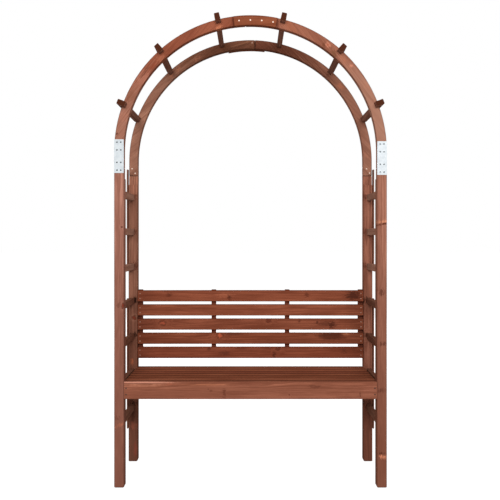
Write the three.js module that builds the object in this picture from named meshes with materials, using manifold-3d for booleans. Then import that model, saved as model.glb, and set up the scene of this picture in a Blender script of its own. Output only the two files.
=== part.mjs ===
// Arbour seat: a round-topped garden arch of stained fir with a bench and a slatted back between its posts.
// Millimetres, +Z up. The origin is on the ground in the middle of the footprint, and the seat faces -Y.
import * as THREE from "three";
import { mergeVertices } from "three/addons/utils/BufferGeometryUtils.js";
import Module from "manifold-3d";

const wasm = await Module();
wasm.setup();

// Overall size.
const OVERALL_WIDTH = 1160;
const FRAME_SPREAD = 350; // outer face of the front frame to outer face of the rear frame
const SPRING_HEIGHT = 1429; // where the straight sides turn into the arch

// Posts, one at each corner. The inner layer stops at a shoulder below the arch.
const POST_WIDTH = 42;
const POST_DEPTH = 42;
const FOOT_CHAMFER = 4;
const SHOULDER_DROP = 43; // from the lower end of the lap down to the shoulder

// Arch halves, flush with both sides of the posts. They are half lapped to the posts and to each other.
const ARCH_WIDTH = 42; // measured along the radius
const ARCH_DEPTH = 24;
const LAP_BELOW_SPRING = 19;
const POST_LAP_LENGTH = 52;
const CROWN_LAP_LENGTH = 40;
const LAP_GAP = 2.5; // left open where the end of a half lap meets a shoulder

// Curved block that is screwed over the joint at the crown.
const SPLICE_LENGTH = 181; // along the middle of the arch
const SPLICE_DEPTH = 16;
const FRONT_SPLICE_DROP = 5; // below both edges of the arch
const REAR_SPLICE_DROP = 0;

// Punched steel plates over the joints between posts and arch halves.
const PLATE_WIDTH = 41;
const PLATE_HEIGHT = 143;
const PLATE_THICKNESS = 2;
const PLATE_CORNER = 2.5;
const PLATE_HOLE_RADIUS = 2.5;
const PLATE_HOLE_OFFSET = 8; // from the middle line to a column of holes
const PLATE_ROW_OFFSETS = [26.5, 59.5]; // from the middle of the plate, up and down
const RIGHT_PLATE_DROP = 8; // the right plate of a frame, seen from outside, is nailed on lower

// Battens on edge, let into the outer edge of both arches.
const BATTEN_COUNT = 6;
const BATTEN_PITCH_DEG = 27.8;
const BATTEN_OVERHANG = 25; // beyond the outer faces of both frames
const BATTEN_THICKNESS = 22;
const BATTEN_HEIGHT = 36;
const BATTEN_PROUD = 20; // beyond the outer edge of the arch

// Side ladders: rungs between the posts, and thin laths on the outer faces of the rungs, flush with the posts.
// Each side has an upper and a lower panel. A rung is given by the height of its middle.
const UPPER_RUNGS = 3;
const UPPER_LOWEST_RUNG = 927;
const UPPER_HIGHEST_DROP = 175; // from the spring of the arch down to the highest rung
const UPPER_LATH_TAIL = 114; // above the highest rung
const LOWER_RUNGS = 4;
const LOWER_LOWEST_RUNG = 260;
const LOWER_HIGHEST_RUNG = 764;
const LOWER_LATH_TAIL = 75; // below the lowest rung
const RUNG_THICKNESS = 21;
const RUNG_HEIGHT = 30;
const LATH_THICKNESS = 7;
const LATH_WIDTH = 20;
const LATH_SETBACK = 25; // clear distance from a post

// Seat: an apron in front, a rail behind, bearers between them and slats on the bearers.
const APRON_HEIGHT = 74;
const APRON_THICKNESS = 20;
const APRON_TOP = 451;
const REAR_RAIL_TOP = 445;
const SEAT_TOP = 448;
const SEAT_SLATS = 6;
const SEAT_SLAT_GAP = 6.8;
const SEAT_SLAT_THICKNESS = 20;
const SEAT_SLAT_LAP = 2; // past the inner sides of the posts
const DECK_CLEARANCE = 2; // between the deck and the posts, in front and behind
const BEARER_WIDTH = 22;
const BEARER_HEIGHT = 47;

// Back: level slats with upright battens behind them.
const BACK_SLATS = 5;
const BACK_SLAT_HEIGHT = 53;
const BACK_SLAT_THICKNESS = 20;
const BACK_PITCH = 67.3;
const BACK_BOTTOM = 491;
const BACK_BATTEN_WIDTH = 22;
const BACK_BATTEN_DEPTH = 22;
const BACK_BATTEN_RISE = 2; // above the highest slat
const BACK_END_CLEARANCE = 1; // slats cut short between the rear posts
const INNER_BEARER_OFFSET = 176; // middle of the part to an inner bearer, and to an inner back batten

// Finish and fit.
const EDGE_RADIUS = 3; // long edges of the timbers
const ARRIS = 1.2; // ends of the timbers, and edges of the curved pieces
const FIT = 0.3; // clearance of a piece in its notch, and at a joint
const OVERRUN = 20; // how far a cutter passes the piece it cuts
const WELD = 1e-4; // vertices nearer than this are one

// Steps of the curves.
const EDGE_STEPS = 1;
const ARCH_STEPS = 24;
const SPLICE_STEPS = 5;
const HOLE_STEPS = 6;

const halfWidth = OVERALL_WIDTH / 2;
const innerHalfWidth = halfWidth - POST_WIDTH;
const postX = halfWidth - POST_WIDTH / 2;
const outerRadius = innerHalfWidth + ARCH_WIDTH;
const middleRadius = innerHalfWidth + ARCH_WIDTH / 2;
const layer = ARCH_DEPTH / 2; // thickness of each half of a lap
const lapTop = SPRING_HEIGHT - LAP_BELOW_SPRING;
const lapBottom = lapTop - POST_LAP_LENGTH;
const shoulder = lapBottom - SHOULDER_DROP;
const battenOuter = outerRadius + BATTEN_PROUD;
const battenInner = battenOuter - BATTEN_HEIGHT;
const frontY = -FRAME_SPREAD / 2;
const rearY = FRAME_SPREAD / 2;
const postGap = FRAME_SPREAD - 2 * POST_DEPTH; // clear distance between a front post and a rear post
const deckDepth = postGap - 2 * DECK_CLEARANCE;
const seatSlatWidth = (deckDepth - (SEAT_SLATS - 1) * SEAT_SLAT_GAP) / SEAT_SLATS;
const sides = [
  { name: "left", side: -1 },
  { name: "right", side: 1 },
];
const panels = [
  {
    level: "upper",
    rungs: UPPER_RUNGS,
    lowest: UPPER_LOWEST_RUNG,
    highest: SPRING_HEIGHT - UPPER_HIGHEST_DROP,
    tailBelow: 0,
    tailAbove: UPPER_LATH_TAIL,
  },
  {
    level: "lower",
    rungs: LOWER_RUNGS,
    lowest: LOWER_LOWEST_RUNG,
    highest: LOWER_HIGHEST_RUNG,
    tailBelow: LOWER_LATH_TAIL,
    tailAbove: 0,
  },
];

const stained = (color) => new THREE.MeshStandardMaterial({ color, roughness: 0.75, metalness: 0 });
const wood = {
  post: stained(0xa06754),
  arch: stained(0xa0654e),
  batten: stained(0x6e4030),
  ladder: stained(0x7d5242),
  bench: stained(0x8b5440),
  back: stained(0x96553c),
};
const steel = new THREE.MeshStandardMaterial({ color: 0xd9dde2, roughness: 0.4, metalness: 0.8 });

const part = new THREE.Group();

function add(group, name, geometry, material, position = [0, 0, 0]) {
  const mesh = new THREE.Mesh(geometry, material);
  mesh.name = name;
  mesh.position.set(...position);
  group.add(mesh);
}

// Solids for cutting and joining, and back again.
function toSolid(geometry) {
  const plain = geometry.clone();
  plain.deleteAttribute("normal");
  plain.deleteAttribute("uv");
  const welded = mergeVertices(plain, WELD);
  return new wasm.Manifold(
    new wasm.Mesh({
      numProp: 3,
      vertProperties: welded.attributes.position.array,
      triVerts: new Uint32Array(welded.index.array),
    }),
  );
}

function toGeometry(solid) {
  const mesh = solid.getMesh();
  const geometry = new THREE.BufferGeometry();
  geometry.setAttribute("position", new THREE.BufferAttribute(mesh.vertProperties, mesh.numProp));
  geometry.setIndex(new THREE.BufferAttribute(mesh.triVerts, 1));
  geometry.computeVertexNormals();
  return geometry;
}

// A box given by its low and high corners.
function box(low, high) {
  const size = high.map((value, i) => value - low[i]);
  const middle = low.map((value, i) => value + size[i] / 2);
  return new THREE.BoxGeometry(...size).translate(...middle);
}

function roundedRectangle(width, height, radius) {
  const shape = new THREE.Shape();
  const x = width / 2 - radius;
  const y = height / 2 - radius;
  shape.absarc(x, y, radius, 0, Math.PI / 2);
  shape.absarc(-x, y, radius, Math.PI / 2, Math.PI);
  shape.absarc(-x, -y, radius, Math.PI, 1.5 * Math.PI);
  shape.absarc(x, -y, radius, 1.5 * Math.PI, 2 * Math.PI);
  return shape;
}

// An outline extruded by a depth, with its arrises taken off inside that size.
function extrude(shape, depth, arris, steps) {
  const geometry = new THREE.ExtrudeGeometry(shape, {
    depth: depth - 2 * arris,
    curveSegments: steps,
    bevelThickness: arris,
    bevelSize: arris,
    bevelOffset: -arris,
    bevelSegments: 1,
  });
  return geometry.translate(0, 0, arris);
}

// A planed timber, centred on the origin, with its grain along one axis and eased edges.
function timber(grain, x, y, z) {
  const [width, height, length] = { x: [y, z, x], y: [x, z, y], z: [x, y, z] }[grain];
  const section = roundedRectangle(width, height, EDGE_RADIUS);
  const geometry = extrude(section, length, ARRIS, EDGE_STEPS).translate(0, 0, -length / 2);
  if (grain !== "z") geometry.rotateX(Math.PI / 2);
  if (grain === "x") geometry.rotateZ(Math.PI / 2);
  return geometry;
}

// A frame has its outer face at y = 0 and its inner side towards +y.
// The post has its full section to the shoulder, then two layers, then one layer as the tongue of the lap.
function postGeometry() {
  const halfPost = POST_WIDTH / 2;
  const halfDepth = POST_DEPTH / 2;
  const stick = timber("z", POST_WIDTH, POST_DEPTH, lapTop).translate(0, halfDepth, lapTop / 2);
  const plan = new THREE.Shape();
  plan.moveTo(-halfPost, -halfDepth);
  plan.lineTo(halfPost, -halfDepth);
  plan.lineTo(halfPost, halfDepth);
  plan.lineTo(-halfPost, halfDepth);
  const chamfered = extrude(plan, lapTop + OVERRUN, FOOT_CHAMFER, EDGE_STEPS).translate(0, halfDepth, 0);
  const beside = halfPost + OVERRUN;
  const beyond = [beside, POST_DEPTH + OVERRUN, lapTop + OVERRUN];
  return toGeometry(
    toSolid(stick)
      .intersect(toSolid(chamfered))
      .subtract(toSolid(box([-beside, ARCH_DEPTH, shoulder], beyond)))
      .subtract(toSolid(box([-beside, layer, lapBottom], beyond))),
  );
}

// An outline drawn in x and z, made a plate that stands on the plane at outerY.
function standing(shape, outerY, depth, steps) {
  const geometry = extrude(shape, depth, ARRIS, steps).rotateX(Math.PI / 2);
  return geometry.translate(0, outerY + depth, 0);
}

// Angles from the vertical of the battens on the arches, positive towards +x.
const battenAngles = Array.from(
  { length: BATTEN_COUNT },
  (_, i) => (i - (BATTEN_COUNT - 1) / 2) * THREE.MathUtils.degToRad(BATTEN_PITCH_DEG),
);

// The space that a batten takes in an arch, with its clearance.
function battenNotch(angle) {
  const side = BATTEN_THICKNESS / 2 + FIT;
  const cutter = box([-side, -OVERRUN, battenInner - FIT], [side, ARCH_DEPTH + OVERRUN, battenOuter + OVERRUN]);
  return toSolid(cutter.rotateY(angle).translate(0, 0, SPRING_HEIGHT));
}

// One half of an arch: a straight foot, a quarter ring, a lap at each end and notches for the battens.
// The left half keeps its outer layer over the crown and the right half its inner layer.
function archHalfGeometry(side) {
  const low = lapBottom + LAP_GAP;
  const footAngle = side < 0 ? Math.PI : 0;
  const tipAngle = Math.PI / 2 + (side * CROWN_LAP_LENGTH) / middleRadius;
  const outline = new THREE.Shape();
  outline.moveTo(side * innerHalfWidth, low);
  outline.lineTo(side * outerRadius, low);
  outline.absarc(0, SPRING_HEIGHT, outerRadius, footAngle, tipAngle, side < 0);
  outline.absarc(0, SPRING_HEIGHT, innerHalfWidth, tipAngle, footAngle, side > 0);

  const beside = halfWidth + OVERRUN;
  const beyond = [beside, ARCH_DEPTH + OVERRUN, SPRING_HEIGHT + halfWidth + OVERRUN];
  const crown = CROWN_LAP_LENGTH / 2;
  const footCut = box([-beside, -OVERRUN, low - OVERRUN], [beside, layer, lapTop + FIT]);
  const crownCuts =
    side < 0
      ? [
          box([-crown - LAP_GAP, layer, SPRING_HEIGHT], beyond),
          box([crown - LAP_GAP, -OVERRUN, SPRING_HEIGHT], beyond),
        ]
      : [
          box([-beside, -OVERRUN, SPRING_HEIGHT], [crown, layer, beyond[2]]),
          box([-beside, -OVERRUN, SPRING_HEIGHT], [-crown, beyond[1], beyond[2]]),
        ];
  const notches = battenAngles.filter((angle) => angle * side > 0).map(battenNotch);
  const cutters = [footCut, ...crownCuts].map(toSolid).concat(notches);
  const blank = toSolid(standing(outline, 0, ARCH_DEPTH, ARCH_STEPS));
  return toGeometry(cutters.reduce((solid, cutter) => solid.subtract(cutter), blank));
}

function spliceGeometry(drop) {
  const middle = Math.PI / 2 - Math.asin(CROWN_LAP_LENGTH / 2 / middleRadius);
  const reach = SPLICE_LENGTH / 2 / middleRadius;
  const outline = new THREE.Shape();
  const centre = SPRING_HEIGHT - drop;
  outline.absarc(0, centre, outerRadius, middle + reach, middle - reach, true);
  outline.absarc(0, centre, innerHalfWidth, middle - reach, middle + reach, false);
  return standing(outline, -SPLICE_DEPTH, SPLICE_DEPTH, SPLICE_STEPS);
}

function jointPlateGeometry() {
  const shape = roundedRectangle(PLATE_WIDTH, PLATE_HEIGHT, PLATE_CORNER);
  for (const row of PLATE_ROW_OFFSETS)
    for (const z of [-row, row])
      for (const x of [-PLATE_HOLE_OFFSET, PLATE_HOLE_OFFSET]) {
        const hole = new THREE.Path();
        hole.absarc(x, z, PLATE_HOLE_RADIUS, 0, 2 * Math.PI);
        shape.holes.push(hole);
      }
  const settings = { depth: PLATE_THICKNESS, bevelEnabled: false, curveSegments: HOLE_STEPS };
  return new THREE.ExtrudeGeometry(shape, settings).rotateX(Math.PI / 2);
}

// Two posts, two arch halves, the splice and the joint plates. The rear frame is the front frame turned round,
// so what is made for its own left stands on the right of the seat.
function buildFrame(prefix, turned) {
  const frame = new THREE.Group();
  frame.rotation.z = turned ? Math.PI : 0;
  frame.position.y = turned ? rearY : frontY;
  for (const { name, side } of sides) {
    const ownSide = turned ? -side : side;
    const x = ownSide * postX;
    add(frame, `${prefix}_${name}_post`, postGeometry(), wood.post, [x, 0, 0]);
    add(frame, `${prefix}_arch_${name}_half`, archHalfGeometry(ownSide), wood.arch);
    const plateZ = ownSide > 0 ? lapTop - RIGHT_PLATE_DROP : lapTop;
    add(frame, `${prefix}_${name}_joint_plate`, jointPlateGeometry(), steel, [x, 0, plateZ]);
  }
  const drop = turned ? REAR_SPLICE_DROP : FRONT_SPLICE_DROP;
  add(frame, `${prefix}_crown_splice`, spliceGeometry(drop), wood.arch);
  part.add(frame);
}

function buildArchBattens() {
  const length = FRAME_SPREAD + 2 * BATTEN_OVERHANG;
  battenAngles.forEach((angle, i) => {
    const arm = new THREE.Group();
    arm.position.z = SPRING_HEIGHT;
    arm.rotation.y = angle;
    const stick = timber("y", BATTEN_THICKNESS, length, BATTEN_HEIGHT);
    add(arm, `arch_batten_${i + 1}`, stick, wood.batten, [0, 0, (battenInner + battenOuter) / 2]);
    part.add(arm);
  });
}

function buildSideLadders() {
  const lathX = halfWidth - LATH_THICKNESS / 2;
  const rungX = halfWidth - LATH_THICKNESS - RUNG_THICKNESS / 2;
  const lathY = (postGap - LATH_WIDTH) / 2 - LATH_SETBACK;
  for (const { name, side } of sides)
    for (const { level, rungs, lowest, highest, tailBelow, tailAbove } of panels) {
      const pitch = (highest - lowest) / (rungs - 1);
      for (let i = 0; i < rungs; i++) {
        const rung = timber("y", RUNG_THICKNESS, postGap, RUNG_HEIGHT);
        const place = [side * rungX, 0, lowest + i * pitch];
        add(part, `${name}_${level}_rung_${i + 1}`, rung, wood.ladder, place);
      }
      const low = lowest - RUNG_HEIGHT / 2 - tailBelow;
      const high = highest + RUNG_HEIGHT / 2 + tailAbove;
      const lath = () => timber("z", LATH_THICKNESS, LATH_WIDTH, high - low);
      const middle = (low + high) / 2;
      add(part, `${name}_${level}_front_lath`, lath(), wood.ladder, [side * lathX, -lathY, middle]);
      add(part, `${name}_${level}_rear_lath`, lath(), wood.ladder, [side * lathX, lathY, middle]);
    }
}

// The rear rail and the four bearers, joined as one piece.
function seatFrameGeometry() {
  const rail = timber("x", 2 * innerHalfWidth, APRON_THICKNESS, APRON_HEIGHT);
  rail.translate(0, rearY - APRON_THICKNESS / 2, REAR_RAIL_TOP - APRON_HEIGHT / 2);
  const length = FRAME_SPREAD - 2 * APRON_THICKNESS;
  const z = SEAT_TOP - SEAT_SLAT_THICKNESS - BEARER_HEIGHT / 2;
  const endX = innerHalfWidth - BEARER_WIDTH / 2;
  const bearers = [-endX, -INNER_BEARER_OFFSET, INNER_BEARER_OFFSET, endX].map((x) =>
    toSolid(timber("y", BEARER_WIDTH, length, BEARER_HEIGHT).translate(x, 0, z)),
  );
  return toGeometry(bearers.reduce((solid, bearer) => solid.add(bearer), toSolid(rail)));
}

function buildSeat() {
  const apron = timber("x", 2 * innerHalfWidth, APRON_THICKNESS, APRON_HEIGHT);
  const apronPlace = [0, frontY + APRON_THICKNESS / 2, APRON_TOP - APRON_HEIGHT / 2];
  add(part, "seat_front_apron", apron, wood.bench, apronPlace);
  add(part, "seat_frame", seatFrameGeometry(), wood.bench);
  const length = 2 * (innerHalfWidth + SEAT_SLAT_LAP);
  const firstY = (seatSlatWidth - deckDepth) / 2;
  const pitch = seatSlatWidth + SEAT_SLAT_GAP;
  for (let i = 0; i < SEAT_SLATS; i++) {
    const slat = timber("x", length, seatSlatWidth, SEAT_SLAT_THICKNESS);
    const place = [0, firstY + i * pitch, SEAT_TOP - SEAT_SLAT_THICKNESS / 2];
    add(part, `seat_slat_${i + 1}`, slat, wood.bench, place);
  }
}

function buildBack() {
  const frontFace = rearY - BACK_BATTEN_DEPTH - BACK_SLAT_THICKNESS;
  const slatY = frontFace + BACK_SLAT_THICKNESS / 2;
  const slatLength = 2 * (innerHalfWidth - BACK_END_CLEARANCE);
  for (let i = 0; i < BACK_SLATS; i++) {
    const slat = timber("x", slatLength, BACK_SLAT_THICKNESS, BACK_SLAT_HEIGHT);
    const z = BACK_BOTTOM + BACK_SLAT_HEIGHT / 2 + i * BACK_PITCH;
    add(part, `back_slat_${i + 1}`, slat, wood.back, [0, slatY, z]);
  }
  const length = (BACK_SLATS - 1) * BACK_PITCH + BACK_SLAT_HEIGHT + BACK_BATTEN_RISE;
  const battenY = rearY - BACK_BATTEN_DEPTH / 2;
  const endX = innerHalfWidth - BACK_BATTEN_WIDTH / 2;
  [-endX, -INNER_BEARER_OFFSET, INNER_BEARER_OFFSET, endX].forEach((x, i) => {
    const upright = timber("z", BACK_BATTEN_WIDTH, BACK_BATTEN_DEPTH, length);
    add(part, `back_batten_${i + 1}`, upright, wood.back, [x, battenY, BACK_BOTTOM + length / 2]);
  });
}

buildFrame("front", false);
buildFrame("rear", true);
buildArchBattens();
buildSideLadders();
buildSeat();
buildBack();

export default part;
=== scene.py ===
# Arbour seat: a round-topped garden arch of stained fir, with ladder sides, a slatted bench and a slatted
# back. Metres, +Z up, the seat faces -Y. The file follows the seat as it is put together, from the posts
# to the screws.
from math import cos, pi, radians, sin

import bpy
import numpy as np
from mathutils import Euler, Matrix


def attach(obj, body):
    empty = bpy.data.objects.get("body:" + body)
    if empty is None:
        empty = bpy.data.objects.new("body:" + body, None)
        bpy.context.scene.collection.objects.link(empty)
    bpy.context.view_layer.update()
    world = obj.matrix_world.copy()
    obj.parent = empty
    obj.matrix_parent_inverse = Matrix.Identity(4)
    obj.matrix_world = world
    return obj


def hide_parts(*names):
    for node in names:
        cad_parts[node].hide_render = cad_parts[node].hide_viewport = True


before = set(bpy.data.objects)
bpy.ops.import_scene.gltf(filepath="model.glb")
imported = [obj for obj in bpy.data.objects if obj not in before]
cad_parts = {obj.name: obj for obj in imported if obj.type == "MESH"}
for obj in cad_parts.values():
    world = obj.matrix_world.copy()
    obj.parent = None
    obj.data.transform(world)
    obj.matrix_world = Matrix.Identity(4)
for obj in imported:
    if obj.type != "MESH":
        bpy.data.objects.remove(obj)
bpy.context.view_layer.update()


# Viewpoint
# The photograph is taken level, about 2.6 m in front of the posts and a little above the back of the seat.
# The lens is shifted down, so that the uprights stay parallel.
EYE_AWAY = 2.775  # from the middle of the seat
EYE_HEIGHT = 1.062
eye = bpy.data.cameras.new("eye")
eye.lens = 44.05  # in millimetres, like the sensor
eye.sensor_width = 36.0
eye.shift_x = -0.0010
eye.shift_y = -0.0238
viewpoint = bpy.data.objects.new("viewpoint", eye)
viewpoint.location = (0.0, -EYE_AWAY, EYE_HEIGHT)
viewpoint.rotation_euler = (pi / 2, 0.0, 0.0)
bpy.context.scene.collection.objects.link(viewpoint)
bpy.context.scene.camera = viewpoint


# Posts
# Four square posts of planed fir, stained red-brown, with a shoulder and a half-lap tongue at the top. The
# stain is thin, so that year rings, knots and sapwood show through it. End grain has drunk it up and is dark.


def shade(red, green, blue, share=1.0):
    """A colour given as it shows on a screen, 0 to 255, made linear: c / 12.92 up to 0.04045, and
    ((c + 0.055) / 1.055)^2.4 above it."""
    screen = np.array([red, green, blue]) / 255.0
    linear = np.where(screen <= 0.04045, screen / 12.92, ((screen + 0.055) / 1.055) ** 2.4)
    return (*(linear * share).tolist(), 1.0)


def put(tree, kind, values, output=0, **settings):
    """Adds a node. A value that is a socket is joined to its input, and any other value is written on it."""
    node = tree.nodes.new(kind)
    for key, value in settings.items():
        setattr(node, key, value)
    for key, value in values.items():
        if isinstance(value, bpy.types.NodeSocket):
            tree.links.new(value, node.inputs[key])
        else:
            node.inputs[key].default_value = value
    return node.outputs[output]


def sums(tree, operation, first, second=0.0):
    """One arithmetic step."""
    return put(tree, "ShaderNodeMath", {0: first, 1: second}, operation=operation)


def ramp(tree, value, start, end, low=0.0, high=1.0):
    """Runs smoothly from low, where value is start, to high, where it is end: 3t^2 - 2t^3."""
    values = {"Value": value, "From Min": start, "From Max": end, "To Min": low, "To Max": high}
    return put(tree, "ShaderNodeMapRange", values, interpolation_type="SMOOTHSTEP")


MIX_UNDER = 6  # the sockets for colours of a Mix node share their names with others, and go by their place
MIX_OVER = 7
MIX_COLOUR = 2


def blend(tree, share, under, over, how="MIX"):
    """Lays one colour over another by a share from 0 to 1."""
    values = {0: share, MIX_UNDER: under, MIX_OVER: over}
    return put(tree, "ShaderNodeMix", values, output=MIX_COLOUR, data_type="RGBA", blend_type=how)


def noise(tree, place, scale, detail, offset):
    """Cloudy noise from 0 to 1 at scale x place + offset, so that no two boards match."""
    moved = put(tree, "ShaderNodeMapping", {"Vector": place, "Location": offset, "Scale": scale})
    return put(tree, "ShaderNodeTexNoise", {"Vector": moved, "Scale": 1.0, "Detail": detail})


def on_board(tree, place, centre, turn, reach=(1.0, 1.0, 1.0)):
    """A place in a board's own directions and in units of a reach for each: R^T (p - c) / reach."""
    values = {"Vector": place, "Location": centre, "Rotation": turn, "Scale": reach}
    return put(tree, "ShaderNodeMapping", values, vector_type="TEXTURE")


def distance(tree, place, centre, turn, reach):
    """How far a place lies from a centre, 1 at the reach: the length of R^T (p - c) / reach."""
    own = on_board(tree, place, centre, turn, reach)
    return put(tree, "ShaderNodeVectorMath", {"Vector": own}, output="Value", operation="LENGTH")


UPRIGHT = (0.0, -pi / 2, 0.0)  # turns that bring a board's own length along z, x or y
LEVEL = (0.0, 0.0, 0.0)
DEEP = (0.0, 0.0, pi / 2)
ENDLESS = 1e6  # a reach that leaves its direction out
KNOT_RIM = (70, 36, 26)
RED_HEART = (134, 60, 42)
DARK_HEART = (84, 42, 32)
END_GRAIN = (86, 46, 31)
EDGE_STAIN_AND_SHADE = (62, 33, 25)
TORN_EDGE = 0.012  # how wide the frayed edge of a large patch is
RING_WANDER = 2.6  # how many rings they stray by
KNOT_PUSH = 3.0  # and how many a knot pushes them aside
LATE_SHARE = (0.62, 0.54, 0.50)  # late wood against the ground, in linear colour
GLOW_SHARE = (1.28, 1.34, 1.34)  # where the stain is thin


def fir(
    name,
    turn,
    centre,
    ground,
    seed,
    pith=(0.03, 0.05),
    ring=0.0042,
    knots=(),
    patches=(),
    figure=0.55,
    rim=None,
    hoop=None,
):
    """Stained fir as a solid grain. In a board's own directions (u along, v and w across) the year rings are
    r = |(v, w) - pith + tilt u| + wander, with late wood where r / ring is nearly whole. Knots push the rings
    aside, patches change the stain and some of them paint shade, fine fibres run along u, and faces across u
    are end grain. The wood is darker near long edges, where max(half v - |v|, half w - |w|) is small: partly
    stain, partly painted shade. On a hoop w is the radius less its own. A knot is (place, reach, colour). A
    patch is (place, reach, colour, strength), and may add a turn of its own and the most that its edge is
    frayed."""
    rng = np.random.default_rng(seed)
    offset = rng.uniform(-9.0, 9.0, 3).tolist()
    lean = rng.uniform(-0.012, 0.012, 2)
    ground = shade(*ground)
    late = (*(np.array(ground[:3]) * LATE_SHARE).tolist(), 1.0)
    glow = (*(np.array(ground[:3]) * GLOW_SHARE).tolist(), 1.0)
    material = bpy.data.materials.new(name)
    material.use_nodes = True
    tree = material.node_tree
    surface = tree.nodes["Principled BSDF"]
    world = put(tree, "ShaderNodeTexCoord", {}, output="Object")
    facing = world.node.outputs["Normal"]
    own = on_board(tree, world, centre, turn)

    wander = noise(tree, own, (4.0, 34.0, 34.0), 2.0, offset)
    cloud = noise(tree, own, (5.0, 26.0, 26.0), 3.0, offset[::-1])
    streak = noise(tree, own, (3.0, 190.0, 190.0), 3.0, offset)
    fibre = noise(tree, own, (22.0, 950.0, 950.0), 2.0, offset)
    mottle = noise(tree, own, (90.0, 210.0, 210.0), 2.0, offset)

    def ragged(place, reach, own_turn=turn, most=0.7):
        """Distance from a knot or patch whose edge the grain has torn: streaks along u and a fine mottle."""
        frayed = min(most, TORN_EDGE / max(reach))
        away = distance(tree, world, place, own_turn, reach)
        away = sums(tree, "ADD", away, ramp(tree, streak, 0.3, 0.7, -0.2, 0.2))
        return sums(tree, "ADD", away, ramp(tree, mottle, 0.3, 0.7, -frayed, frayed))

    rings = distance(tree, own, (0.0, *pith), (0.0, *lean.tolist()), (ENDLESS, ring, ring))
    rings = sums(tree, "ADD", rings, sums(tree, "MULTIPLY", wander, RING_WANDER))

    hearts = []
    for place, reach, heart in knots:
        away = ragged(place, reach, most=0.35)
        hearts.append((away, heart))
        rings = sums(tree, "ADD", rings, ramp(tree, away, 0.6, 3.6, KNOT_PUSH, 0.0))

    saw = sums(tree, "FRACT", rings)
    line = sums(tree, "MULTIPLY", ramp(tree, saw, 0.35, 0.9), ramp(tree, saw, 0.95, 1.0, 1.0, 0.0))

    colour = blend(tree, ramp(tree, cloud, 0.42, 0.70), ground, glow)
    colour = blend(tree, ramp(tree, wander, 0.5, 0.75, 0.0, 0.5), colour, late)
    for place, reach, tint, strength, *form in patches:
        away = ragged(place, reach, *form)
        colour = blend(tree, ramp(tree, away, 0.35, 1.0, strength, 0.0), colour, shade(*tint))
    colour = blend(tree, ramp(tree, streak, 0.45, 0.75, 0.0, 0.6), colour, late)
    colour = blend(tree, sums(tree, "MULTIPLY", line, figure), colour, late)
    for away, heart in hearts:
        colour = blend(tree, ramp(tree, away, 1.2, 2.6, 0.35, 0.0), colour, glow)
        colour = blend(tree, ramp(tree, away, 0.8, 1.4, 0.65, 0.0), colour, shade(*KNOT_RIM))
        colour = blend(tree, ramp(tree, away, 0.3, 1.0, 0.85, 0.0), colour, shade(*heart))
    colour = blend(tree, 1.0, colour, ramp(tree, fibre, 0.25, 0.75, 0.86, 1.1), "MULTIPLY")

    # Painted shade along the long edges, partly stain gathered there.
    if rim:
        half_v, half_w, width, strength = rim
        v = put(tree, "ShaderNodeSeparateXYZ", {"Vector": own}, output="Y")
        w = v.node.outputs["Z"]
        if hoop:
            middle, radius = hoop
            w = sums(tree, "SUBTRACT", distance(tree, world, middle, LEVEL, (1.0, ENDLESS, 1.0)), radius)
        from_v = sums(tree, "SUBTRACT", half_v, sums(tree, "ABSOLUTE", v))
        from_w = sums(tree, "SUBTRACT", half_w, sums(tree, "ABSOLUTE", w))
        near = sums(tree, "MAXIMUM", from_v, from_w)
        colour = blend(tree, ramp(tree, near, 0.0, width, strength, 0.0), colour, shade(*EDGE_STAIN_AND_SHADE))

    axis = Euler(turn).to_matrix().col[0]
    pair = {0: facing, 1: tuple(axis)}
    across = put(tree, "ShaderNodeVectorMath", pair, output="Value", operation="DOT_PRODUCT")
    end = ramp(tree, sums(tree, "ABSOLUTE", across), 0.75, 0.95)
    drunk = blend(tree, line, shade(*END_GRAIN), shade(*END_GRAIN, share=0.6))
    colour = blend(tree, end, colour, drunk)

    relief = sums(tree, "ADD", sums(tree, "MULTIPLY", line, 0.7), sums(tree, "MULTIPLY", fibre, 0.8))
    tree.links.new(colour, surface.inputs["Base Color"])
    tree.links.new(ramp(tree, fibre, 0.2, 0.8, 0.66, 0.84), surface.inputs["Roughness"])
    surface.inputs["Specular IOR Level"].default_value = 0.0  # dead matt, also at a glance along a face
    bump = put(tree, "ShaderNodeBump", {"Strength": 0.5, "Distance": 0.0004, "Height": relief})
    tree.links.new(bump, surface.inputs["Normal"])
    return material


def dress(name, material):
    """Gives a solid of the frame its finish."""
    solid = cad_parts[name]
    for place in solid.material_slots:
        place.material = material


def measure(name, turn=LEVEL):
    """Centre of a node of the frame, and its size in a board's own directions, from the least and the
    greatest R^T p of its points."""
    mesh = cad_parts[name].data
    points = np.empty(3 * len(mesh.vertices))
    mesh.vertices.foreach_get("co", points)
    way = np.array(Euler(turn).to_matrix())
    own = points.reshape(-1, 3) @ way
    low, high = own.min(axis=0), own.max(axis=0)
    return way @ (low + high) / 2, high - low


POST_GRAIN = 0.7  # the height that a post's grain is drawn from
POST_WOOD = dict(pith=(0.04, 0.012), ring=0.0048)
POST_RIM = (0.003, 0.5)  # width and strength of the darker edges, partly stain and partly painted shade
DARK_STAIN = (92, 50, 38)

# The first patch of each post darkens it towards its foot: painted shade, for the lamps' light that falls off
# lower down.
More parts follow.
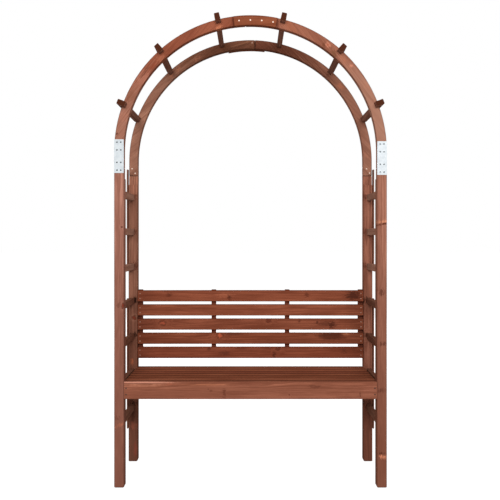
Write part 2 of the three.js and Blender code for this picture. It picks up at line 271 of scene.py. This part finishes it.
posts = {
    "front_left_post": dict(
        ground=(170, 116, 99),
        knots=[
            ((-0.547, -0.175, 1.109), (0.004, 0.004, 0.004), (104, 54, 42)),
            ((-0.540, -0.175, 0.773), (0.010, 0.008, 0.008), RED_HEART),
        ],
        patches=[
            ((-0.559, -0.17, 0.0), (1.2, 0.3, 0.3), (118, 66, 50), 0.66),
            ((-0.553, -0.17, 0.776), (0.016, 0.03, 0.03), DARK_STAIN, 0.6),
            ((-0.556, -0.17, 0.268), (0.010, 0.03, 0.030), (188, 112, 86), 0.75, (0.0, -pi / 2 - 0.3, 0.0)),
            ((-0.566, -0.17, 0.295), (0.012, 0.03, 0.012), DARK_STAIN, 0.55),
        ],
    ),
    "front_right_post": dict(
        ground=(167, 112, 92),
        patches=[
            ((0.559, -0.17, 0.0), (1.2, 0.3, 0.3), (118, 66, 48), 0.68),
            ((0.560, -0.17, 1.132), (0.034, 0.03, 0.011), (226, 150, 114), 1.0, (0.0, -0.14, 0.0)),
            ((0.557, -0.17, 1.1205), (0.030, 0.03, 0.006), (92, 42, 26), 1.0, (0.0, -0.24, 0.0)),
            ((0.566, -0.17, 0.612), (0.010, 0.03, 0.030), DARK_STAIN, 0.7),
            ((0.556, -0.17, 0.832), (0.018, 0.03, 0.02), DARK_STAIN, 0.8),
            ((0.556, -0.17, 0.414), (0.012, 0.03, 0.02), DARK_STAIN, 0.6),
            ((0.564, -0.17, 0.1315), (0.010, 0.03, 0.024), (224, 142, 108), 0.95),
            ((0.556, -0.17, 0.1475), (0.005, 0.03, 0.024), (98, 52, 38), 0.85),
        ],
    ),
    "rear_left_post": dict(
        figure=0.38,
        ground=(162, 110, 89),
        knots=[
            ((-0.553, 0.133, 0.684), (0.010, 0.008, 0.010), RED_HEART),
        ],
        patches=[
            ((-0.559, 0.14, 0.0), (1.0, 0.3, 0.3), (94, 51, 38), 0.75),
            ((-0.559, 0.14, 1.30), (0.09, 0.03, 0.05), (200, 134, 108), 0.8),
            ((-0.559, 0.14, 0.22), (0.06, 0.03, 0.03), (60, 32, 22), 0.6),
            ((-0.564, 0.14, 0.476), (0.016, 0.03, 0.014), (190, 108, 74), 0.8),
            ((-0.560, 0.14, 0.17), (0.022, 0.03, 0.03), (166, 92, 70), 0.6),
            ((-0.548, 0.14, 0.06), (0.05, 0.03, 0.012), (156, 76, 60), 0.6),
        ],
    ),
    "rear_right_post": dict(
        ground=(172, 111, 90),
        knots=[((0.553, 0.133, 0.60), (0.010, 0.008, 0.010), DARK_HEART)],
        patches=[
            ((0.559, 0.14, 0.0), (0.60, 0.3, 0.3), (98, 56, 42), 0.85),
            ((0.558, 0.14, 0.33), (0.03, 0.03, 0.03), DARK_STAIN, 0.4),
            ((0.559, 0.14, 0.20), (0.05, 0.03, 0.03), (114, 66, 52), 0.5),
            ((0.559, 0.14, 0.76), (0.14, 0.03, 0.05), (112, 68, 52), 0.55),
        ],
    ),
}
for name, x in (("rear_left_post", -0.549), ("rear_right_post", 0.541)):
    for z in (0.277, 0.603, 0.768):  # painted shade, with some gathered stain, in the corners by the lower rungs
        dark = ((x, 0.14, z), (0.019, 0.03, 0.018), (36, 18, 13), 0.95, UPRIGHT, 0.3)
        posts[name]["patches"].append(dark)
    for z in (0.930, 1.093, 1.257):  # and fainter painted shade by the upper ones
        soft = ((x, 0.14, z), (0.024, 0.03, 0.013), (84, 42, 33), 0.75, UPRIGHT, 0.5)
        posts[name]["patches"].append(soft)

for number, (name, looks) in enumerate(posts.items()):
    middle, size = measure(name, UPRIGHT)
    rim = (*size[1:] / 2, *POST_RIM)
    centre = (*middle[:2], POST_GRAIN)
    material = fir(name + "_fir", UPRIGHT, centre, seed=11 + number, rim=rim, **POST_WOOD, **looks)
    dress(name, material)


# Arches and splices
# Each half arch is sawn from a wide fir board, so that the grain runs straight while the wood curves away
# from it. Halves are lapped to the posts and to each other, and a curved block is screwed over the crown.
ARCH_CENTRE = 1.429
ARCH_RADIUS = 0.559  # of the middle line
ARCH_HALF_WIDTH = 0.021
ARCH_RIM = (0.0032, 0.75)  # width and strength again, as for every rim
ARCH_WOOD = dict(pith=(0.01, 0.16), ring=0.0055)
# Painted shadow in the crown joint, with some stain that has run into it
LAP_SHADOW = ((0.0215, 0.151, 1.99), (0.0045, 0.03, 0.06), (44, 22, 16), 1.0, LEVEL)
halves = {
    "front_arch_left_half": dict(
        turn=(0.0, -radians(52), 0.0),
        ground=(149, 84, 62),
        patches=[
            ((-0.545, -0.175, 1.46), (0.40, 0.3, 0.40), (173, 121, 101), 0.95),
            ((-0.170, -0.175, 1.96), (0.10, 0.03, 0.06), (170, 100, 74), 0.6),
            ((-0.134, -0.175, 1.957), (0.020, 0.03, 0.013), (210, 130, 94), 0.75),
            ((-0.416, -0.175, 1.791), (0.024, 0.03, 0.010), (146, 74, 50), 0.7),
            # painted shadow beside the left end of the crown splice
            ((-0.0725, -0.175, 1.982), (0.009, 0.03, 0.05), (104, 52, 36), 0.8, LEVEL, 0.1),
            ((-0.380, -0.175, 1.826), (0.03, 0.03, 0.02), (190, 116, 88), 0.6),
            ((-0.460, -0.175, 1.745), (0.05, 0.03, 0.030), (186, 122, 100), 0.8),
            ((-0.507, -0.175, 1.665), (0.03, 0.03, 0.03), (142, 94, 72), 0.6),
            ((-0.540, -0.175, 1.575), (0.03, 0.03, 0.03), (190, 128, 106), 0.6),
            ((-0.448, -0.175, 1.766), (0.03, 0.03, 0.005), DARK_STAIN, 0.7),
            ((-0.569, -0.175, 1.506), (0.006, 0.03, 0.006), DARK_STAIN, 0.8),
        ],
    ),
    "front_arch_right_half": dict(
        turn=(0.0, radians(52), 0.0),
        ground=(157, 98, 77),
        patches=[
            ((0.540, -0.175, 1.52), (0.44, 0.3, 0.44), (183, 134, 112), 0.95),
            ((0.170, -0.175, 1.960), (0.06, 0.03, 0.02), (180, 108, 78), 0.5),
            ((0.3125, -0.175, 1.882), (0.011, 0.03, 0.013), (112, 64, 44), 0.85, LEVEL, 0.3),
            ((0.3295, -0.175, 1.8835), (0.0155, 0.03, 0.0155), (212, 138, 112), 0.95, LEVEL, 0.2),
            ((0.3285, -0.175, 1.8845), (0.006, 0.03, 0.006), (184, 100, 72), 0.8, LEVEL, 0.2),
            ((0.353, -0.175, 1.8465), (0.030, 0.03, 0.016), (128, 86, 60), 0.85),
            # painted shadow beside the right end of the crown splice
            ((0.1150, -0.175, 1.972), (0.007, 0.03, 0.04), (110, 56, 40), 0.7, LEVEL, 0.1),
            ((0.394, -0.175, 1.823), (0.03, 0.03, 0.012), (190, 120, 92), 0.6),
            ((0.427, -0.175, 1.7945), (0.010, 0.03, 0.009), (230, 152, 124), 1.0, LEVEL, 0.2),
            ((0.490, -0.175, 1.710), (0.03, 0.03, 0.012), (196, 136, 110), 0.6),
        ],
    ),
    "rear_arch_left_half": dict(
        turn=(0.0, -radians(38), 0.0),
        ground=(166, 116, 95),
        patches=[
            ((-0.252, 0.151, 1.926), (0.012, 0.03, 0.009), (164, 94, 70), 0.6),
            ((-0.05, 0.151, 2.0), (0.47, 0.3, 0.47), (104, 62, 42), 0.92),
            ((-0.045, 0.151, 1.991), (0.075, 0.03, 0.005), (158, 108, 80), 0.55, (0.0, -0.3, 0.0)),
            ((-0.045, 0.151, 1.982), (0.070, 0.03, 0.005), (78, 46, 32), 0.6, (0.0, -0.3, 0.0)),
            LAP_SHADOW,
            ((-0.380, 0.151, 1.835), (0.020, 0.03, 0.012), (204, 132, 100), 0.6),
            ((-0.345, 0.151, 1.868), (0.016, 0.03, 0.010), (200, 128, 96), 0.5),
            ((-0.257, 0.151, 1.918), (0.024, 0.03, 0.010), (190, 120, 92), 0.5),
        ],
    ),
    "rear_arch_right_half": dict(
        turn=(0.0, radians(46), 0.0),
        ground=(165, 113, 92),
        patches=[
            ((0.03, 0.151, 2.0), (0.47, 0.3, 0.47), (101, 53, 37), 0.94),
            LAP_SHADOW,
            ((0.432, 0.151, 1.787), (0.022, 0.03, 0.014), (200, 122, 90), 0.7),
            ((0.552, 0.151, 1.46), (0.03, 0.03, 0.012), (196, 132, 106), 0.6),
        ],
    ),
}
for number, (name, looks) in enumerate(halves.items()):
    middle, size = measure(name)
    side = 1 if "right" in name else -1
    looks.update(
        centre=(side * 0.4, middle[1], 1.8),
        rim=(size[1] / 2, ARCH_HALF_WIDTH, *ARCH_RIM),
        hoop=((0.0, 0.0, ARCH_CENTRE), ARCH_RADIUS),
    )
    material = fir(name + "_fir", seed=31 + number, **ARCH_WOOD, **looks)
    dress(name, material)

SPLICE_DROPS = {"front": 0.005, "rear": 0.0}  # how far each sits below the edges of its arch
SPLICE_RIM = (0.0025, 0.5)
for number, (end, drop) in enumerate(SPLICE_DROPS.items()):
    name = end + "_crown_splice"
    side = -1 if end == "rear" else 1
    middle, size = measure(name)
    material = fir(
        name + "_fir",
        LEVEL,
        (side * 0.02, middle[1], 1.98),
        ground=(144, 81, 56),
        seed=41 + number,
        rim=(size[1] / 2, ARCH_HALF_WIDTH, *SPLICE_RIM),
        hoop=((0.0, 0.0, ARCH_CENTRE - drop), ARCH_RADIUS),
        **ARCH_WOOD,
    )
    dress(name, material)


# Joint plates
# Punched steel plates with a bright zinc coat, nailed over the joints of posts and arch halves.
# The zinc has set in faint angular grains, and is duller where it was handled.


def zinc(name, seed, share):
    """Zinc-coated sheet: flat grains with a slightly different brightness each, under a fine uneven gloss."""
    material = bpy.data.materials.new(name)
    material.use_nodes = True
    tree = material.node_tree
    surface = tree.nodes["Principled BSDF"]
    place = put(tree, "ShaderNodeTexCoord", {}, output="Object")
    offset = (seed * 0.37, seed * 0.11, seed * 0.23)
    moved = put(tree, "ShaderNodeMapping", {"Vector": place, "Location": offset})
    grain = put(tree, "ShaderNodeTexVoronoi", {"Vector": moved, "Scale": 150.0}, output="Color")
    level = put(tree, "ShaderNodeSeparateColor", {"Color": grain})
    smear = put(tree, "ShaderNodeTexNoise", {"Vector": moved, "Scale": 45.0, "Detail": 3.0})
    colour = blend(tree, level, shade(211, 218, 223, share), shade(219, 225, 228, share))
    colour = blend(tree, ramp(tree, smear, 0.5, 0.75, 0.0, 0.35), colour, shade(202, 213, 220, share))
    tree.links.new(colour, surface.inputs["Base Color"])
    tree.links.new(ramp(tree, smear, 0.3, 0.7, 0.5, 0.66), surface.inputs["Roughness"])
    surface.inputs["Metallic"].default_value = 0.15
    surface.inputs["Specular IOR Level"].default_value = 0.25
    bump = put(tree, "ShaderNodeBump", {"Strength": 0.25, "Distance": 0.0002, "Height": smear})
    tree.links.new(bump, surface.inputs["Normal"])
    return material


corner_posts = ("front_left", "front_right", "rear_left", "rear_right")
for number, name in enumerate(corner_posts):
    # The left plates get a darker copy of the zinc than the right ones: painted shade.
    share = 0.84 if "left" in name else 0.95
    dress(name + "_joint_plate", zinc(name + "_zinc", number + 1, share))


# Arch battens
# Six battens on edge join the two arches, let a little into their outer edges. They reach past both frames.
# They are stained darker, and their ends, which face the viewer, have drunk most of it.
EASE = 0.0015  # how far the ends are rounded over
ROUND = 0.003  # radius of the long edges
MOST_BOW = 0.0006
MOST_CUP = 0.0003
CORNER_STEPS = 5
END_STEPS = 3
LENGTH_STEPS = 13


def sweep(name, rows, material, stands_for, smooth):
    """A closed piece from rings of points: row i joins row i + 1 by quads, and both end rings are capped."""
    count, around = rows.shape[:2]
    ring = np.arange(count - 1)[:, None] * around + np.arange(around)[None, :]
    turned = np.roll(ring, -1, axis=1)
    quads = np.stack([ring, turned, turned + around, ring + around], axis=-1).reshape(-1, 4)
    caps = [list(range(around))[::-1], list(range((count - 1) * around, count * around))]
    mesh = bpy.data.meshes.new(name)
    mesh.from_pydata(rows.reshape(-1, 3).tolist(), [], quads.tolist() + caps)
    flags = np.concatenate([np.broadcast_to(smooth, (count - 1, around)).ravel(), [False, False]])
    mesh.polygons.foreach_set("use_smooth", flags)
    mesh.materials.append(material)
    mesh.update()
    piece = bpy.data.objects.new(name, mesh)
    bpy.context.scene.collection.objects.link(piece)
    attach(piece, "root")
    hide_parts(*stands_for)
    return piece


def board(node, size, centre, turn, material, seed):
    """A planed board that stands for a node of the frame. A rectangle with round corners is carried along u:
    (v, w) = corner + (r - inset)(cos t, sin t), and at both ends inset = e(1 - sin a), u = e(1 - cos a).
    The length is bowed by h(1 - (2u/L)^2) and the section cupped by c (2v/b)^2, under a millimetre each."""
    length, breadth, depth = size
    rng = np.random.default_rng(seed)
    bow, cup = rng.uniform(-MOST_BOW, MOST_BOW), rng.uniform(-MOST_CUP, MOST_CUP)
    arc = np.linspace(0.0, pi / 2, CORNER_STEPS + 1)
    t = (arc[None, :] + np.arange(4)[:, None] * pi / 2).ravel()
    signs = np.repeat(np.array([[1, 1], [-1, 1], [-1, -1], [1, -1]]), CORNER_STEPS + 1, axis=0)
    corner = signs * (np.array([breadth, depth]) / 2 - ROUND)
    a = np.linspace(0.0, pi / 2, END_STEPS + 1)
    start, inset = EASE * (1 - np.cos(a)), EASE * (1 - np.sin(a))
    between = np.linspace(0.0, length, LENGTH_STEPS + 1)[1:-1]
    u = np.concatenate([start, between, length - start[::-1]]) - length / 2
    radius = ROUND - np.concatenate([inset, np.zeros(LENGTH_STEPS - 1), inset[::-1]])
    v = corner[None, :, 0] + radius[:, None] * np.cos(t)[None, :]
    w = corner[None, :, 1] + radius[:, None] * np.sin(t)[None, :]
    lift = bow * (1 - (2 * u / length) ** 2)
    w = w + lift[:, None] + cup * (2 * v / breadth) ** 2
    own = np.stack([np.broadcast_to(u[:, None], v.shape), v, w], axis=-1)
    rows = own @ np.array(Euler(turn).to_matrix()).T + np.array(centre)
    round_edge = np.arange(t.size) % (CORNER_STEPS + 1) < CORNER_STEPS
    return sweep(node + "_board", rows, material, [node], round_edge)


BATTEN_COUNT = 6
BATTEN_SPREAD = radians(69.5)  # from the crown down to the lowest batten on each side
for number, angle in enumerate(np.linspace(-BATTEN_SPREAD, BATTEN_SPREAD, BATTEN_COUNT)):
    node = f"arch_batten_{number + 1}"
    turn = tuple((Euler((0.0, angle, 0.0)).to_matrix() @ Euler(DEEP).to_matrix()).to_euler())
    centre, size = measure(node, turn)
    material = fir(node + "_fir", turn, centre, ground=(146, 100, 83), seed=51 + number)
    board(node, size, centre, turn, material, 51 + number)


# Side ladders
# Level rungs between a front and a rear post, and thin laths on the outer faces of the rungs, a little off
# the posts. They are stained a greyer brown, and only their ends and inner faces are seen from the front.
LADDER_RING = 0.0038
LADDERS = {"lower": (4, (134, 90, 72)), "upper": (3, (176, 128, 108))}  # rungs, and their ground
LATH_GROUND = (126, 80, 62)
LATH_EASE = 0.0007  # drawn this much further in, so that the gap beside the front posts shows its full width
for side, name in ((-1, "left"), (1, "right")):
    for level, (rungs, ground) in LADDERS.items():
        for number in range(rungs):
            node = f"{name}_{level}_rung_{number + 1}"
            seed = 61 + number + 10 * side + len(level)
            centre, size = measure(node, DEEP)
            material = fir(node + "_fir", DEEP, centre, ground, 100 + seed, ring=LADDER_RING)
            board(node, size, centre, DEEP, material, seed)
        for end, place in ((-1, "front"), (1, "rear")):
            node = f"{name}_{level}_{place}_lath"
            seed = 81 + 3 * side + end + len(level)
            centre, size = measure(node, UPRIGHT)
            centre[0] -= side * LATH_EASE
            material = fir(node + "_fir", UPRIGHT, centre, LATH_GROUND, 200 + seed, ring=LADDER_RING)
            board(node, size, centre, UPRIGHT, material, seed)


# Seat
# An apron across the front posts, a rail and bearers behind it, and six slats on the bearers with narrow
# gaps. The apron keeps a streak of pale sapwood along its upper left edge.
SEAT_WOOD = dict(pith=(0.02, 0.03), ring=0.0046)
APRON_RIM = (0.003, 0.2)
# The slats' dark edges are painted shade in the gaps between them, partly stain.
SLAT_RIM = (0.006, 0.85)
apron_place, apron_size = measure("seat_front_apron")
apron_fir = fir(
    "apron_fir",
    LEVEL,
    apron_place,
    ground=(151, 92, 71),
    seed=91,
    knots=[
        ((-0.180, -0.175, 0.421), (0.0025, 0.006, 0.0025), (100, 54, 40)),
        ((0.166, -0.175, 0.395), (0.004, 0.006, 0.003), RED_HEART),
    ],
    patches=[
        ((-0.460, -0.17, 0.4375), (0.15, 0.03, 0.0065), (226, 150, 118), 1.0),
        ((-0.460, -0.17, 0.4490), (0.15, 0.03, 0.0055), (216, 148, 124), 0.95),
        ((-0.470, -0.17, 0.4436), (0.12, 0.03, 0.0016), DARK_STAIN, 0.9),
        ((-0.20, -0.17, 0.4400), (0.20, 0.03, 0.0050), (190, 118, 86), 0.7),
        ((0.20, -0.17, 0.4400), (0.50, 0.03, 0.0045), (178, 110, 84), 0.6),
        ((0.276, -0.17, 0.430), (0.03, 0.03, 0.01), DARK_STAIN, 0.5),
        ((-0.345, -0.17, 0.440), (0.034, 0.03, 0.005), (188, 106, 80), 0.7),
        ((-0.112, -0.17, 0.404), (0.011, 0.03, 0.022), (104, 56, 41), 0.75),
        ((-0.170, -0.17, 0.412), (0.008, 0.03, 0.008), (112, 62, 46), 0.5),
        ((0.466, -0.17, 0.400), (0.004, 0.03, 0.016), (96, 52, 38), 0.7),
        ((0.51, -0.17, 0.412), (0.04, 0.03, 0.03), (168, 104, 82), 0.6),
    ],
    rim=(*apron_size[1:] / 2, *APRON_RIM),
    **SEAT_WOOD,
)
board("seat_front_apron", apron_size, apron_place, LEVEL, apron_fir, 91)
frame_fir = fir("seat_frame_fir", LEVEL, (0.0, 0.165, 0.408), ground=(120, 70, 54), seed=92, **SEAT_WOOD)
dress("seat_frame", frame_fir)

slat_grounds = ((161, 96, 70), (150, 88, 63), (156, 92, 66), (145, 83, 61), (159, 94, 68), (150, 88, 65))
for number, ground in enumerate(slat_grounds):
    node = f"seat_slat_{number + 1}"
    centre, size = measure(node)
    rim = (*size[1:] / 2, *SLAT_RIM)
    material = fir(node + "_fir", LEVEL, centre, ground, 93 + number, rim=rim, **SEAT_WOOD)
    board(node, size, centre, LEVEL, material, 93 + number)


# Back
# Five level slats between the rear posts, screwed to four upright battens behind them.
# Knots sit here and there, each with darker wood swept round it.
BACK_WOOD = dict(pith=(0.03, 0.02), ring=0.0050, figure=0.5)
BACK_FACE = 0.133  # where the knots of the slats lie
BACK_RIM = (0.0035, 0.5)
ORANGE = (208, 132, 94)
back_slats = [
    dict(
        ground=(138, 74, 53),
        knots=[((0.130, BACK_FACE, 0.538), (0.012, 0.008, 0.009), (116, 58, 42))],
        patches=[
            ((-0.196, 0.13, 0.535), (0.012, 0.03, 0.010), (86, 44, 32), 0.7),
            ((-0.123, 0.13, 0.515), (0.03, 0.03, 0.014), DARK_STAIN, 0.6),
            ((0.112, 0.13, 0.507), (0.010, 0.03, 0.02), (80, 40, 30), 0.8),
            ((0.444, 0.13, 0.526), (0.02, 0.03, 0.014), DARK_STAIN, 0.7),
        ],
    ),
    dict(
        ground=(136, 74, 52),
        knots=[((-0.146, BACK_FACE, 0.598), (0.016, 0.012, 0.013), (204, 104, 72))],
        patches=[
            ((-0.172, 0.13, 0.598), (0.030, 0.03, 0.016), (164, 92, 66), 0.8),
            ((-0.085, 0.13, 0.607), (0.06, 0.03, 0.010), DARK_STAIN, 0.6),
            ((0.385, 0.13, 0.600), (0.08, 0.03, 0.03), (84, 44, 32), 0.85),
            ((0.452, 0.13, 0.606), (0.02, 0.03, 0.008), ORANGE, 0.4),
        ],
    ),
    dict(
        ground=(139, 77, 56),
        knots=[
            ((-0.418, BACK_FACE, 0.659), (0.015, 0.010, 0.013), (172, 86, 62)),
            ((0.086, BACK_FACE, 0.668), (0.012, 0.010, 0.009), (120, 58, 42)),
        ],
        patches=[
            ((0.233, 0.13, 0.668), (0.006, 0.03, 0.010), (96, 50, 36), 0.8),
            ((0.318, 0.13, 0.663), (0.008, 0.03, 0.010), (84, 44, 32), 0.8),
            ((0.352, 0.13, 0.655), (0.05, 0.03, 0.014), DARK_STAIN, 0.6),
            ((0.386, 0.13, 0.650), (0.024, 0.03, 0.018), (74, 38, 28), 0.9),
        ],
    ),
    dict(
        ground=(146, 81, 58),
        patches=[((0.02, 0.13, 0.72), (0.20, 0.03, 0.01), (128, 66, 46), 0.4)],
    ),
    dict(
        ground=(142, 78, 56),
        patches=[
            ((-0.388, 0.13, 0.792), (0.016, 0.03, 0.013), (90, 46, 34), 0.8),
            ((-0.122, 0.13, 0.790), (0.05, 0.03, 0.016), (178, 104, 76), 0.7),
            ((-0.100, 0.13, 0.782), (0.012, 0.03, 0.014), (78, 40, 30), 0.85),
            ((0.267, 0.13, 0.791), (0.016, 0.03, 0.012), (88, 44, 32), 0.75),
            ((0.490, 0.13, 0.788), (0.05, 0.03, 0.026), (78, 42, 32), 0.9),
        ],
    ),
]
for number, looks in enumerate(back_slats):
    node = f"back_slat_{number + 1}"
    centre, size = measure(node)
    rim = (*size[1:] / 2, *BACK_RIM)
    material = fir(node + "_fir", LEVEL, centre, seed=121 + number, rim=rim, **BACK_WOOD, **looks)
    board(node, size, centre, LEVEL, material, 121 + number)

BACK_BATTENS = 4
for number in range(BACK_BATTENS):
    node = f"back_batten_{number + 1}"
    centre, size = measure(node, UPRIGHT)
    material = fir(node + "_fir", UPRIGHT, centre, ground=(120, 66, 50), seed=131 + number, **BACK_WOOD)
    board(node, size, centre, UPRIGHT, material, 131 + number)


# Screws and bolts
# Zinc-plated countersunk screws hold the splices and laps, and darker ones the apron and the back slats.
# A round bolt head sits on the outer side of each front post at the height of the seat.
HEAD_STEPS = 20


def turned_head(name, centre, direction, profile, material):
    """A head turned on a lathe about a level axis: the profile (r, h) is carried round it,
    p = c + h d + r (cos t a + sin t b)."""
    axis = np.array(direction, float)
    aside = np.cross(axis, (0.0, 0.0, 1.0))
    other = np.cross(axis, aside)
    t = np.linspace(0.0, 2 * pi, HEAD_STEPS, endpoint=False)
    r, h = np.array(profile).T
    spoke = np.cos(t)[:, None] * aside + np.sin(t)[:, None] * other
    rows = np.array(centre) + h[:, None, None] * axis + r[:, None, None] * spoke[None, :, :]
    return sweep(name, rows, material, [], True)


def bright_steel(name, colour, roughness):
    """Plated steel, clouded by handling."""
    material = bpy.data.materials.new(name)
    material.use_nodes = True
    tree = material.node_tree
    surface = tree.nodes["Principled BSDF"]
    place = put(tree, "ShaderNodeTexCoord", {}, output="Object")
    cloud = put(tree, "ShaderNodeTexNoise", {"Vector": place, "Scale": 600.0, "Detail": 2.0})
    dull = tuple(0.8 * c for c in colour[:3]) + (1.0,)
    tree.links.new(blend(tree, ramp(tree, cloud, 0.4, 0.7), colour, dull), surface.inputs["Base Color"])
    tree.links.new(ramp(tree, cloud, 0.3, 0.7, roughness, roughness + 0.2), surface.inputs["Roughness"])
    surface.inputs["Metallic"].default_value = 0.25
    return material


zinc_screw = bright_steel("zinc_screw", shade(252, 226, 208), 0.6)
dull_screw = bright_steel("dull_screw", shade(196, 156, 138), 0.6)
brown_screw = bright_steel("brown_screw", shade(74, 44, 34), 0.6)
# The plate nails are darkened beyond their own grey to paint the shade in the plates' holes, the left ones
# more.
grey_nail_painted_hole_shade = bright_steel("grey_nail_painted_hole_shade", shade(84, 88, 90), 0.7)
pale_nail_painted_hole_shade = bright_steel("pale_nail_painted_hole_shade", shade(128, 133, 137), 0.7)
# A screw's profile runs from the rim in the wood over the low dome to the shallow recess for the driver.
DOME = [(0.0034, -0.002), (0.0034, 0.0001), (0.0029, 0.0006)]
RECESS = [(0.0014, 0.0008), (0.0010, 0.0003), (0.0002, 0.0002)]
SCREW = DOME + RECESS
SMALL_SCREW = [(0.8 * r, h) for r, h in SCREW]
NAIL = [(0.0033, -0.0003), (0.0033, 0.0003), (0.0028, 0.0007), (0.0002, 0.0009)]
BOLT = [(0.0065, -0.001), (0.0065, 0.0008), (0.0058, 0.0016), (0.0040, 0.0021), (0.0003, 0.0023)]

SPLICE_ASIDE = 0.0235  # from the crown to the middle of a splice, along the arch
SPLICE_SPOTS = (-0.072, -0.024, 0.024, 0.072)  # from the middle of the splice
for side, name in ((1, "front"), (-1, "rear")):
    middle, size = measure(name + "_crown_splice")
    for number, along in enumerate(SPLICE_SPOTS):
        angle = (SPLICE_ASIDE + along) / ARCH_RADIUS
        height = ARCH_CENTRE - SPLICE_DROPS[name] + ARCH_RADIUS * cos(angle)
        place = (side * ARCH_RADIUS * sin(angle), middle[1] - side * size[1] / 2, height)
        turned_head(f"{name}_splice_screw_{number + 1}", place, (0, -side, 0), SCREW, zinc_screw)

CROWN_SPOT = (0.008, 1.996)  # x and z of the rear screws, and the front ones are the same turned round
LAP_SPOTS = ((-0.5662, 1.3935), (-0.5514, 1.3720), (0.5548, 1.3933), (0.5696, 1.3730))
for side, name in ((1, "rear"), (-1, "front")):
    middle, size = measure(name + "_arch_left_half")
    inner_face = middle[1] - side * size[1] / 2
    x, z = CROWN_SPOT
    turned_head(f"{name}_crown_lap_screw", (side * x, inner_face, z), (0, -side, 0), SCREW, dull_screw)
    for number, (x, z) in enumerate(LAP_SPOTS):
        label = f"{name}_lap_screw_{number + 1}"
        turned_head(label, (side * x, inner_face, z), (0, -side, 0), SCREW, zinc_screw)

NAIL_COLUMNS = (-0.008, 0.008)  # from the middle of a plate
NAIL_ROWS = (-0.0595, -0.0265, 0.0265, 0.0595)
nail_spots = [(across, rise) for rise in NAIL_ROWS for across in NAIL_COLUMNS]
for name in corner_posts:
    end = -1 if "front" in name else 1
    nail = grey_nail_painted_hole_shade if "left" in name else pale_nail_painted_hole_shade
    middle, size = measure(name + "_joint_plate")
    for number, (across, rise) in enumerate(nail_spots):
        place = middle + np.array([across, end * size[1] / 2, rise])
        turned_head(f"{name}_plate_nail_{number + 1}", place, (0, end, 0), NAIL, nail)

APRON_SPOTS = (0.010, -0.017)  # from the middle of the apron, up and down
APRON_SCREW_X = 0.529
BACK_SPOTS = (-0.012, 0.012)
BACK_SCREW_X = 0.525
BOLT_HEIGHT = 0.411
ahead = (0, -1, 0)
apron_front = apron_place[1] - apron_size[1] / 2
for side, name in ((-1, "left"), (1, "right")):
    for number, rise in enumerate(APRON_SPOTS):
        place = (side * APRON_SCREW_X, apron_front, apron_place[2] + rise)
        turned_head(f"apron_{name}_screw_{number + 1}", place, ahead, SCREW, brown_screw)
    middle, size = measure(f"front_{name}_post")
    place = (middle[0] + side * size[0] / 2, middle[1], BOLT_HEIGHT)
    turned_head(f"seat_{name}_bolt", place, (side, 0, 0), BOLT, brown_screw)
    for row in range(len(back_slats)):
        middle, size = measure(f"back_slat_{row + 1}")
        for number, rise in enumerate(BACK_SPOTS):
            place = (side * BACK_SCREW_X, middle[1] - size[1] / 2, middle[2] + rise)
            label = f"back_{name}_screw_{row + 1}_{number + 1}"
            turned_head(label, place, ahead, SMALL_SCREW, dull_screw)


# Studio
# A pale floor without an edge, soft frontal light and a weak fill from behind, as for a catalogue.
# The viewer sees floor and surroundings white, while the light that they throw on the wood stays low.


def seen(tree):
    """1 for what the eye, a reflection or a look through shows, and 0 for light that is passed on."""
    path = tree.nodes.new("ShaderNodeLightPath")
    eye_or_gloss = sums(tree, "MAXIMUM", path.outputs["Is Camera Ray"], path.outputs["Is Glossy Ray"])
    return sums(tree, "MAXIMUM", eye_or_gloss, path.outputs["Is Transmission Ray"])


FLOOR_REACH = 40.0
WHITE = (1.0, 1.0, 1.0, 1.0)
DIM = (0.45, 0.45, 0.45, 1.0)  # what the floor throws on the wood
THROWN_LIGHT = 0.33  # and how strongly the surroundings do
FLOOR_GLOW = 0.6
GLOW_STRENGTH = 1.5
floor_mesh = bpy.data.meshes.new("floor")
corners = [(FLOOR_REACH * x, FLOOR_REACH * y, 0.0) for x, y in ((-1, -1), (1, -1), (1, 1), (-1, 1))]
floor_mesh.from_pydata(corners, [], [(0, 1, 2, 3)])
floor = bpy.data.objects.new("floor", floor_mesh)
bpy.context.scene.collection.objects.link(floor)
pale = bpy.data.materials.new("pale_floor")
pale.use_nodes = True
tree = pale.node_tree
tree.nodes.clear()
passed_on = put(tree, "ShaderNodeBsdfDiffuse", {"Color": DIM})
lit = put(tree, "ShaderNodeBsdfDiffuse", {"Color": WHITE})
glowing = put(tree, "ShaderNodeEmission", {"Color": WHITE, "Strength": GLOW_STRENGTH})
shown = put(tree, "ShaderNodeMixShader", {0: FLOOR_GLOW, 1: lit, 2: glowing})
both = put(tree, "ShaderNodeMixShader", {0: seen(tree), 1: passed_on, 2: shown})
put_out = tree.nodes.new("ShaderNodeOutputMaterial")
tree.links.new(both, put_out.inputs["Surface"])
floor_mesh.materials.append(pale)

surroundings = bpy.data.worlds.new("surroundings")
surroundings.use_nodes = True
tree = surroundings.node_tree
tree.nodes.clear()
strength = sums(tree, "MAXIMUM", seen(tree), THROWN_LIGHT)
background = put(tree, "ShaderNodeBackground", {"Color": WHITE, "Strength": strength})
world_out = tree.nodes.new("ShaderNodeOutputWorld")
tree.links.new(background, world_out.inputs["Surface"])
bpy.context.scene.world = surroundings


def soft_lamp(name, place, aim, size, power):
    """A large square lamp that looks at a point."""
    lamp = bpy.data.lights.new(name, "AREA")
    lamp.shape = "SQUARE"
    lamp.size = size
    lamp.energy = power
    stand = bpy.data.objects.new(name, lamp)
    stand.location = place
    way = np.array(aim) - np.array(place)
    stand.rotation_euler = (np.arctan2(np.hypot(way[0], way[1]), -way[2]), 0.0, np.arctan2(-way[0], way[1]))
    bpy.context.scene.collection.objects.link(stand)


# The place of the right lamp of each pair, the height that it looks at, its size and its power
LAMPS = {
    "front": ((1.1, -4.8, 2.8), 1.1, 1.8, 104.0),
    "back": ((1.6, 5.2, 2.0), 1.0, 2.0, 70.0),
}
for end, ((x, y, z), height, size, power) in LAMPS.items():
    for side, name in ((-1, "left"), (1, "right")):
        soft_lamp(f"{end}_{name}_lamp", (side * x, y, z), (0.0, 0.0, height), size, power)

view = bpy.context.scene.view_settings
view.view_transform = "Standard"
